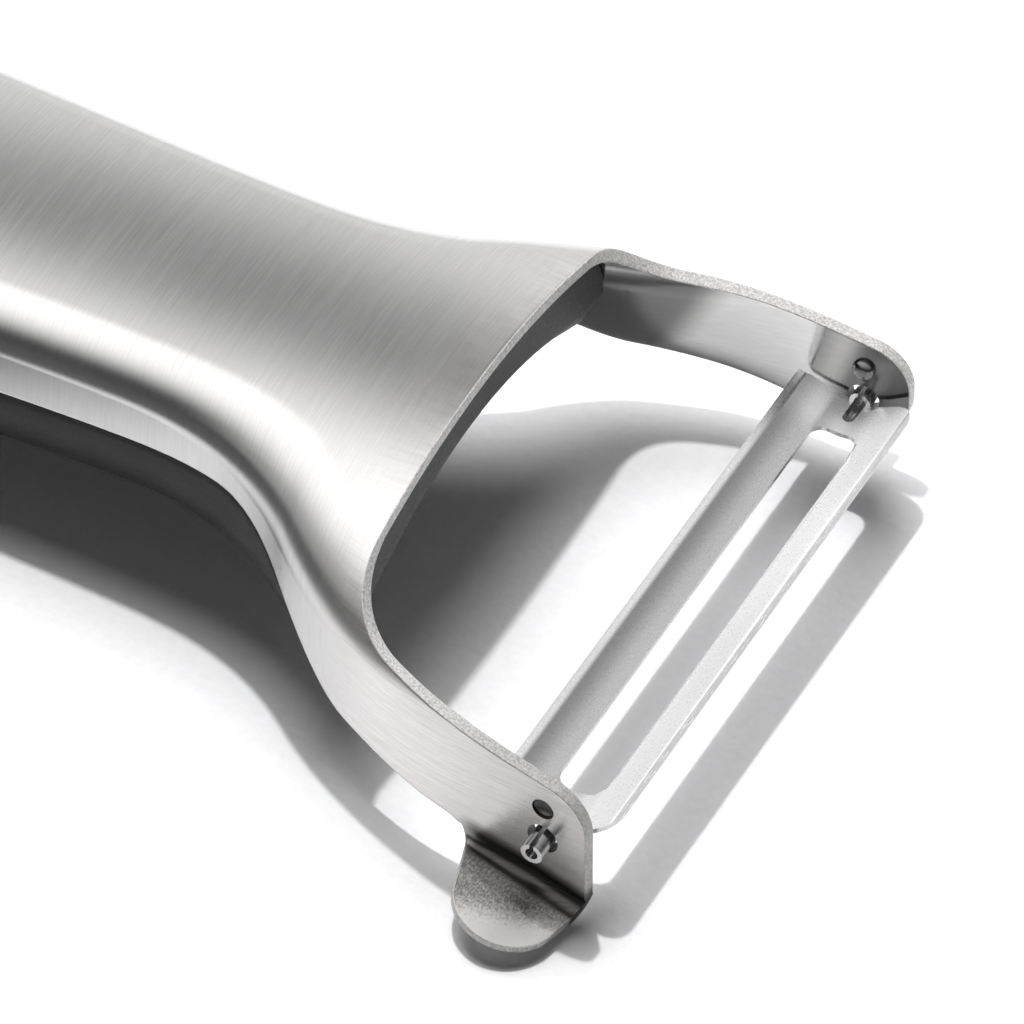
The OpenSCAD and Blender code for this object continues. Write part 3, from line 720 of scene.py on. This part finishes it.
# Materials
class Nodes:
    """Short way to write the node tree of a material, or of the world."""

    def __init__(self, owner, output="ShaderNodeOutputMaterial", coordinates="Object"):
        owner.use_nodes = True
        self.owner, self.tree = owner, owner.node_tree
        self.tree.nodes.clear()
        self.out = self.node(output)
        self.where = self.node("ShaderNodeTexCoord").outputs[coordinates]

    def node(self, kind, **values):
        n = self.tree.nodes.new(kind)
        for key, value in values.items():
            setattr(n, key, value)
        return n

    def link(self, a, b):
        self.tree.links.new(a, b)

    def feed(self, socket, value):
        if hasattr(value, "is_output"):
            self.link(value, socket)
        else:
            socket.default_value = value

    def grain(self, scale, detail=2.0, rough=0.5, offset=0.0, turned=0.0):
        """Noise over the object's own coordinates; scale is grains per metre on each axis."""
        place = self.node("ShaderNodeMapping")
        self.link(self.where, place.inputs["Vector"])
        place.inputs["Scale"].default_value = scale
        place.inputs["Location"].default_value = (offset, 0.7 * offset, 0.3 * offset)
        place.inputs["Rotation"].default_value = (0, 0, turned)
        noise = self.node("ShaderNodeTexNoise")
        self.link(place.outputs[0], noise.inputs["Vector"])
        noise.inputs["Scale"].default_value = 1.0
        noise.inputs["Detail"].default_value = detail
        noise.inputs["Roughness"].default_value = rough
        return noise.outputs["Fac"]

    def span(self, value, a, b, c, d, smooth=False):
        n = self.node("ShaderNodeMapRange",
                      interpolation_type="SMOOTHSTEP" if smooth else "LINEAR")
        self.feed(n.inputs["Value"], value)
        for key, number in zip(("From Min", "From Max", "To Min", "To Max"), (a, b, c, d)):
            n.inputs[key].default_value = number
        return n.outputs["Result"]

    def math(self, operation, a, b=0.0):
        n = self.node("ShaderNodeMath", operation=operation)
        self.feed(n.inputs[0], a)
        self.feed(n.inputs[1], b)
        return n.outputs[0]

    def blend(self, share, a, b):
        n = self.node("ShaderNodeMix", data_type="FLOAT")
        self.feed(n.inputs[0], share)
        self.feed(n.inputs[2], a)
        self.feed(n.inputs[3], b)
        return n.outputs[0]

    def shade(self, share, a, b):
        n = self.node("ShaderNodeMix", data_type="RGBA")
        self.feed(n.inputs[0], share)
        self.feed(n.inputs[6], a)
        self.feed(n.inputs[7], b)
        return n.outputs[2]

    def ramp(self, value, *stops):
        n = self.node("ShaderNodeValToRGB")
        self.feed(n.inputs[0], value)
        band = n.color_ramp
        while len(band.elements) < len(stops):
            band.elements.new(0.5)
        for element, (place, colour) in zip(band.elements, stops):
            element.position, element.color = place, (*colour, 1)
        return n.outputs[0]

    def bump(self, height, distance, strength=1.0, normal=None):
        n = self.node("ShaderNodeBump")
        n.inputs["Strength"].default_value = strength
        n.inputs["Distance"].default_value = distance
        self.feed(n.inputs["Height"], height)
        if normal is not None:
            self.link(normal, n.inputs["Normal"])
        return n.outputs[0]

    def surface(self, **values):
        bsdf = self.node("ShaderNodeBsdfPrincipled")
        for key, value in values.items():
            self.feed(bsdf.inputs[key.replace("_", " ")], value)
        self.link(bsdf.outputs[0], self.out.inputs[0])
        return self.owner

    def axis(self, k):
        n = self.node("ShaderNodeSeparateXYZ")
        self.link(self.where, n.inputs[0])
        return n.outputs[k]

    def painted(self, name):
        """A value painted on the mesh by paint_shade_and_scratches: painted shade, or where the
        scoop's scratches and painted sheen go.
        """
        return self.node("ShaderNodeAttribute", attribute_name=name).outputs["Fac"]


def new_nodes(name):
    return Nodes(bpy.data.materials.new(name))


def brushed_steel():
    """Sheet steel: brushed across on the handle, and along on the arms. The arms are painted
    lighter than the handle, a painted light on the same steel; painted shade darkens the scoop's
    bend and the near arm's tip; the scoop has its scratches under a painted sheen.
    """
    n = new_nodes("steel_brushed")
    on_arm = n.span(n.axis(0), 0.108, 0.124, 0.0, 1.0, smooth=True)
    across = n.grain((8000, 210, 210), 3.0, 0.6)
    along = n.grain((200, 500, 8000), 3.0, 0.6)
    fine = n.blend(on_arm, across, along)
    across_wide = n.grain((3400, 110, 110), 2.0, 0.5, 3.1)
    along_wide = n.grain((260, 300, 4200), 2.0, 0.5, 1.7)
    wide = n.blend(on_arm, across_wide, along_wide)
    cloud = n.grain((70, 70, 70), 3.0, 0.5, 5.0)
    shade = n.blend(0.3, fine, cloud)
    plain = n.ramp(shade, (0.25, (0.55, 0.545, 0.54)), (0.75, (0.67, 0.665, 0.66)))
    # pale: the arms' colour, painted lighter than the handle's, a painted light on the same steel
    pale = n.ramp(shade, (0.32, (0.57, 0.555, 0.545)), (0.62, (0.76, 0.745, 0.735)))
    # dark: the colour of the painted shade in the scoop's bend and towards the near arm's tip
    dark = n.ramp(shade, (0.25, (0.032, 0.031, 0.030)), (0.75, (0.08, 0.078, 0.075)))
    painted_shade = n.painted("painted_shade")
    scoop_wear_and_sheen = n.painted("scoop_wear_and_sheen")
    nicks = n.math("MAXIMUM", n.grain((9000, 900, 2000), 3.0, 0.6, 8.0, 0.5),
                   n.grain((900, 7000, 2000), 3.0, 0.6, 6.0, 0.25))
    # Painted sheen on the scoop: painted darker towards its rear and fold, and lighter towards its
    # front and outer edge, over its scratches
    beyond = n.math("ADD", n.axis(1), n.math("MULTIPLY", n.axis(0), -0.45))
    scratches_and_painted_sheen = n.span(beyond, -0.1010, -0.1060, -0.12, 0.22, smooth=True)
    scratches_and_painted_sheen = n.math("ADD", n.blend(0.6, nicks, n.grain((4200, 3000, 3600), 3.0, 0.7, 3.0)), scratches_and_painted_sheen)
    spoon = n.ramp(scratches_and_painted_sheen, (0.36, (0.26, 0.256, 0.25)), (0.66, (0.98, 0.97, 0.96)))
    # Painted shade mixed over the steel, and the scoop's colour with its painted sheen
    colour = n.shade(painted_shade, n.shade(scoop_wear_and_sheen, n.shade(on_arm, plain, pale), spoon), dark)
    rough = n.span(n.math("ADD", wide, n.math("MULTIPLY", cloud, 0.5)), 0.4, 1.1, 0.18, 0.28)
    bump = n.bump(wide, 0.000002, 0.4)
    bump = n.bump(fine, 0.000006, 0.5, bump)
    bump = n.bump(n.math("MULTIPLY", nicks, scoop_wear_and_sheen), 0.00003, 0.6, bump)
    stretch = n.node("ShaderNodeCombineXYZ")
    n.link(n.math("SUBTRACT", 1.0, on_arm), stretch.inputs[0])
    n.link(on_arm, stretch.inputs[2])
    metal = n.blend(scoop_wear_and_sheen, 1.0, 0.55)
    return n.surface(Base_Color=colour, Metallic=metal, Roughness=rough, Normal=bump,
                     Anisotropic=0.7, Tangent=stretch.outputs[0])


def inner_steel():
    """The inner face: rolled smooth, with a faint grain, and darkened by a painted dark reflection
    over much of the far arm's inner face.
    """
    n = new_nodes("steel_inner")
    fine = n.grain((500, 500, 3000), 3.0, 0.6)
    cloud = n.grain((110, 110, 160), 3.0, 0.5, 5.0)
    shade = n.ramp(n.blend(0.4, fine, cloud), (0.3, (0.60, 0.595, 0.59)),
                   (0.7, (0.72, 0.71, 0.70)))
    painted_shade = n.painted("inner_painted_shade")
    # Painted dark reflection, the painted shade of the far arm's inner face
    colour = n.shade(painted_shade, shade, (0.10, 0.10, 0.10, 1))
    rough = n.span(cloud, 0.3, 0.7, 0.13, 0.21)
    return n.surface(Base_Color=colour, Metallic=1.0, Roughness=rough,
                     Normal=n.bump(fine, 0.000004, 0.5))


def cut_steel():
    """The sheet's cut edge, dressed with fine cross scratches, and darkened by painted shade in
    the scoop's bend and towards the near arm's tip.
    """
    n = new_nodes("steel_cut_edge")
    fine = n.grain((7000, 7000, 700), 3.0, 0.6)
    spots = n.grain((4200, 4200, 4200), 2.0, 0.6, 2.0)
    colour = n.ramp(n.blend(0.6, fine, spots), (0.36, (0.38, 0.376, 0.37)),
                    (0.62, (0.80, 0.79, 0.78)))
    painted_shade = n.painted("painted_shade")
    # Painted shade, as on the faces
    colour = n.shade(painted_shade, colour, (0.03, 0.03, 0.03, 1))
    rough = n.span(spots, 0.3, 0.7, 0.46, 0.62)
    bump = n.bump(n.math("ADD", fine, spots), 0.00003, 0.8)
    return n.surface(Base_Color=colour, Metallic=0.45, Roughness=rough, Normal=bump)


def pit_shade_steel():
    """The pressed pits and the walls of the holes: dull steel, painted dark as painted shade in
    these recesses.
    """
    n = new_nodes("steel_pit_painted_shade")
    cloud = n.grain((900, 900, 900), 3.0, 0.6)
    colour = n.ramp(cloud, (0.3, (0.06, 0.06, 0.06)), (0.7, (0.13, 0.13, 0.128)))
    return n.surface(Base_Color=colour, Metallic=1.0, Roughness=n.span(cloud, 0.3, 0.7, 0.35, 0.5))


def blade_satin():
    """The blade's faces: satin, with painted shade along the back bar's fold, fading into the
    trough, and less of a mirror at the front.
    """
    n = new_nodes("blade_satin")
    fine = n.grain((3000, 3000, 3000), 1.0, 0.5)
    cloud = n.grain((160, 60, 160), 2.0, 0.5, 4.0)
    colour = n.ramp(n.blend(0.7, fine, cloud), (0.3, (0.88, 0.88, 0.885)),
                    (0.7, (0.94, 0.94, 0.945)))
    # Painted shade along the fold of the back bar
    fold = (pivot_x - blade_w / 2 + flange_w) * MM
    shade = n.span(n.axis(0), fold + 0.0002, fold + 0.0026, 0.50, 0.0, smooth=True)
    step = n.span(n.axis(0), fold - 0.0002, fold + 0.0001, 0.0, 1.0, smooth=True)
    colour = n.shade(n.math("MULTIPLY", shade, step), colour, (0.10, 0.10, 0.102, 1))
    rough = n.span(fine, 0.3, 0.7, 0.27, 0.29)
    front = n.span(n.axis(0), (pivot_x + 0.4) * MM, (pivot_x + 2.8) * MM, 0.92, 0.45, smooth=True)
    return n.surface(Base_Color=colour, Metallic=front, Roughness=rough)


def blade_polish(name, pale, metal):
    """The blade's cut edges or its ground bevels."""
    n = new_nodes(name)
    fine = n.grain((6500, 500, 6500), 2.0, 0.6)
    colour = n.ramp(fine, (0.3, (pale, pale, pale + 0.005)),
                    (0.7, (pale + 0.1, pale + 0.1, pale + 0.105)))
    rough = n.span(fine, 0.3, 0.7, 0.18, 0.3)
    return n.surface(Base_Color=colour, Metallic=metal, Roughness=rough,
                     Normal=n.bump(fine, 0.000006, 0.4))


def grip_rubber():
    n = new_nodes("grip_rubber")
    grit = n.grain((3800, 3800, 3800), 3.0, 0.7)
    cloud = n.grain((220, 220, 220), 3.0, 0.55, 2.0)
    colour = n.ramp(n.blend(0.4, cloud, grit), (0.3, (0.016, 0.016, 0.017)),
                    (0.7, (0.030, 0.030, 0.031)))
    rough = n.span(grit, 0.3, 0.7, 0.45, 0.66)
    return n.surface(Base_Color=colour, Roughness=rough, Normal=n.bump(grit, 0.00006, 0.6))


def core_plastic():
    n = new_nodes("core_plastic")
    grit = n.grain((1500, 1500, 1500), 3.0, 0.6)
    cloud = n.grain((120, 120, 120), 2.0, 0.5, 6.0)
    colour = n.ramp(cloud, (0.3, (0.040, 0.040, 0.042)), (0.7, (0.060, 0.060, 0.062)))
    rough = n.span(grit, 0.3, 0.7, 0.40, 0.58)
    return n.surface(Base_Color=colour, Roughness=rough, Normal=n.bump(grit, 0.00004, 0.5))


# Strengths of the painted shade: the near arm's tip, and the far arm's inner face by the lip,
# round the tip and along the foot
near_arm_painted_shade, lip_painted_shade, tip_painted_shade, foot_painted_shade = 0.28, 0.80, 0.90, 0.75


def paint_shade_and_scratches(ob):
    """Painted shade in the scoop's bend and towards the near arm's tip, a painted dark reflection
    on the far arm's inner face, and the scoop's scratches with a painted sheen.
    """
    painted_shade, inner, scoop_wear_and_sheen = [], [], []
    for v in ob.data.vertices:
        x, y, z = v.co
        off, out = z - float(fold_z(x)), -y - float(half_w(x))
        bend = dim = scoop = 0.0
        # Painted shade in the scoop's bend, fading up the wall; scoop marks where the scoop's
        # scratches and painted sheen go
        if y < 0 and x > eyer_rear - 2 and off > -3.5:
            wall = 0.25 + 0.75 * float(ease(1.25 - max(off, 0) / 1.8))
            wall *= float(ease(1.15 - max(off, 0) / 3.6))
            wall *= float(ease((x - eyer_rear + 2) / 3.5))
            bend = (1.0 if off < 0.3 else 0.9) * wall * float(ease((2.3 - out) / 1.0))
            scoop = float(ease((out - 1.0) / 1.0))
        # Painted shade towards the near arm's tip
        if y < 0:
            bend = max(bend, near_arm_painted_shade * float(ease((x - front_x - 5) / 20)))
        # Painted dark reflection over the far arm's inner face: by the lip, round the tip and
        # along the foot
        if y > 0 and x > front_x - 6:
            lip = float(ease((pivot_x - 12.0 + 0.5 * (z - side_z) - x) / 4.5))
            tip = float(ease((x - pivot_x + 6.0 - 0.35 * (z - pivot_z)) / 4.5))
            foot = float(ease((float(edge_z(x)) + 3.5 - z) / 4.5))
            dim = max(lip_painted_shade * lip, tip_painted_shade * tip, foot_painted_shade * foot)
        painted_shade.append(bend)
        inner.append(dim)
        scoop_wear_and_sheen.append(scoop)
    for name, values in (("painted_shade", painted_shade), ("inner_painted_shade", inner), ("scoop_wear_and_sheen", scoop_wear_and_sheen)):
        ob.data.attributes.new(name, "FLOAT", "POINT").data.foreach_set("value", values)


# Pieces
steel = steel_body([brushed_steel(), cut_steel(), inner_steel(), pit_shade_steel()])
paint_shade_and_scratches(steel)
finish_mesh(steel, 38)
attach(steel, "handle")
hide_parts("steel_body")

skin = use_materials(grip_skin(), [grip_rubber()])
finish_mesh(skin, 180)
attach(skin, "handle")
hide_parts("soft_grip")

blade = blade_piece([blade_satin(), blade_polish("blade_edge", 0.50, 1.0),
                     blade_polish("blade_bevel", 0.62, 0.6)])
finish_mesh(blade, 30)
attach(blade, "blade_body")
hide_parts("blade")

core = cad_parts["grip_core"]
core.data.materials.clear()
core.data.materials.append(core_plastic())


# Floor, camera and light
floor_size, view_turn, view_rise = 3000.0, 28.06, 45.0
view_far, view_right, view_up = 1000.0, -19.138, 9.399
focal_px, picture_px, sensor = 10326.58, 1024, 36.0


def floor():
    """Tilted to touch the scoop and the tail, as the peeler lies on a table. To glossy rays the
    floor far out on the near side is painted dark, a painted dark reflection.
    """
    heel, toe = Vector((-3.0, 0.0, 0.0)), Vector((141.0, 0.0, -9.2))
    slope = (toe - heel).normalized()
    middle = Vector((90.0, 0.0, 0.0))
    middle.z = heel.z + slope.z / slope.x * (middle.x - heel.x)
    bm = bmesh.new()
    bmesh.ops.create_grid(bm, x_segments=1, y_segments=1, size=floor_size)
    ob = new_object("floor", [], [])
    bm.to_mesh(ob.data)
    bm.free()
    tilt = math.atan2(-slope.z, slope.x)
    ob.data.transform(Matrix.Scale(MM, 4) @ Matrix.Translation(middle)
                      @ Matrix.Rotation(tilt, 4, "Y"))
    n = new_nodes("floor_white")
    paper = n.grain((900, 900, 900), 3.0, 0.6)
    shade = n.ramp(paper, (0.3, (0.86, 0.86, 0.87)), (0.7, (0.90, 0.90, 0.91)))
    matte = n.node("ShaderNodeBsdfDiffuse")
    tooth = n.grain((1100, 1100, 1100), 2.0, 0.5, 9.0)
    n.link(n.bump(tooth, 0.0001, 0.7), matte.inputs["Normal"])
    path = n.node("ShaderNodeLightPath")
    # Painted dark reflection: far out on the near side, the floor is dark to glossy rays only
    away = n.math("ADD", n.axis(1), n.math("MULTIPLY", n.axis(0), 0.4))
    painted_dark_reflection = n.span(away, -0.026, -0.003, 0.94, 0.0, smooth=True)
    painted_dark_reflection = n.math("MULTIPLY", painted_dark_reflection, path.outputs["Is Glossy Ray"])
    n.link(n.shade(painted_dark_reflection, shade, (0.03, 0.03, 0.03, 1)), matte.inputs["Color"])
    glow = n.node("ShaderNodeEmission")
    seen = n.math("MAXIMUM", path.outputs["Is Camera Ray"],
                  n.math("MAXIMUM", path.outputs["Is Glossy Ray"],
                         path.outputs["Is Transmission Ray"]))
    n.link(n.math("MULTIPLY", seen, 0.02), glow.inputs["Strength"])
    both = n.node("ShaderNodeAddShader")
    n.link(matte.outputs[0], both.inputs[0])
    n.link(glow.outputs[0], both.inputs[1])
    n.link(both.outputs[0], n.out.inputs[0])
    ob.data.materials.append(n.owner)


def camera():
    azimuth, elevation = math.radians(view_turn), math.radians(view_rise)
    back = Vector((math.sin(azimuth) * math.cos(elevation),
                   -math.cos(azimuth) * math.cos(elevation), math.sin(elevation)))
    right = Vector((math.cos(azimuth), math.sin(azimuth), 0))
    up = back.cross(right)
    aim = Vector((pivot_x, 0, pivot_z)) + right * view_right + up * view_up
    cam = bpy.data.cameras.new("camera")
    cam.sensor_width = sensor
    cam.lens = sensor * focal_px / picture_px
    cam.clip_start, cam.clip_end = 0.05, 20.0
    ob = bpy.data.objects.new("camera", cam)
    turned = Matrix((right, up, back)).transposed()
    ob.matrix_world = Matrix.Translation((aim + back * view_far) * MM) @ turned.to_4x4()
    bpy.context.scene.collection.objects.link(ob)
    bpy.context.scene.camera = ob


def lamp(name, kind, place, energy, **values):
    """A lamp that looks at the middle of the peeler, and that nothing mirrors."""
    data = bpy.data.lights.new(name, kind)
    data.energy = energy
    for key, value in values.items():
        setattr(data, key, value)
    ob = bpy.data.objects.new(name, data)
    ob.location = Vector(place)
    aim = Vector((0.09, 0.0, 0.01)) - ob.location
    ob.rotation_euler = aim.to_track_quat("-Z", "Y").to_euler()
    ob.visible_glossy = False
    bpy.context.scene.collection.objects.link(ob)


def studio():
    """Two lamps for shade and shadow, and a world that only mirrors and the camera see bright."""
    lamp("key", "POINT", (0.056, 0.084, 0.400), 4.4, shadow_soft_size=0.008)
    lamp("fill", "SUN", (-0.41, 0.80, 1.6), 3.1, angle=math.radians(46))
    world = bpy.data.worlds.new("studio")
    bpy.context.scene.world = world
    n = Nodes(world, "ShaderNodeOutputWorld", "Generated")
    side = n.span(n.axis(1), 0.58, 0.18, 0.0, 1.0, smooth=True)
    high = n.span(n.axis(2), 0.15, 0.95, 0.0, 1.65, smooth=True)
    low = n.span(n.axis(2), 0.72, 0.40, 0.28, 0.95, smooth=True)
    left = n.span(n.axis(0), -0.45, -0.80, 0.0, 0.4, smooth=True)
    right = n.span(n.axis(0), -0.12, 0.24, 1.0, 0.70, smooth=True)
    room = n.math("ADD", n.math("MULTIPLY", n.blend(side, low, high), right), left)
    path = n.node("ShaderNodeLightPath")
    seen = n.math("MAXIMUM", path.outputs["Is Glossy Ray"], path.outputs["Is Transmission Ray"])
    level = n.blend(seen, 0.03, n.math("ADD", room, 0.10))
    level = n.blend(path.outputs["Is Camera Ray"], level, 1.0)
    shade = n.node("ShaderNodeBackground")
    shade.inputs[0].default_value = (1, 1, 1, 1)
    n.link(level, shade.inputs[1])
    n.link(shade.outputs[0], n.out.inputs[0])


floor()
camera()
studio()
bpy.context.scene.view_settings.view_transform = "Standard"
